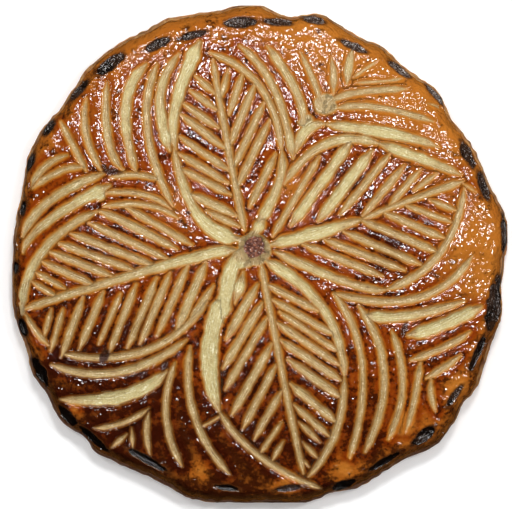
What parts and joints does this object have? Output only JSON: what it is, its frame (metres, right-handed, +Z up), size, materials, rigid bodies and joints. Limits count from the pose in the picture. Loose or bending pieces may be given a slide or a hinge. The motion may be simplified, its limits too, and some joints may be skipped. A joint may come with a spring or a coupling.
{
  "type": "galette des rois",
  "caption": "Round domed puff-pastry king cake with a scalloped flaky edge and four scored leaves in its glazed top.",
  "frame": {"origin": "middle of the flat base", "axes": "+Z up, square to the base; +Y towards the tip of the first leaf; +X towards the second leaf"},
  "size_m": [0.2581, 0.2591, 0.035],
  "materials": {
    "crust": "glazed baked pastry"
  },
  "bodies": {
    "root": {"galette": "crust"}
  },
  "joints": []
}
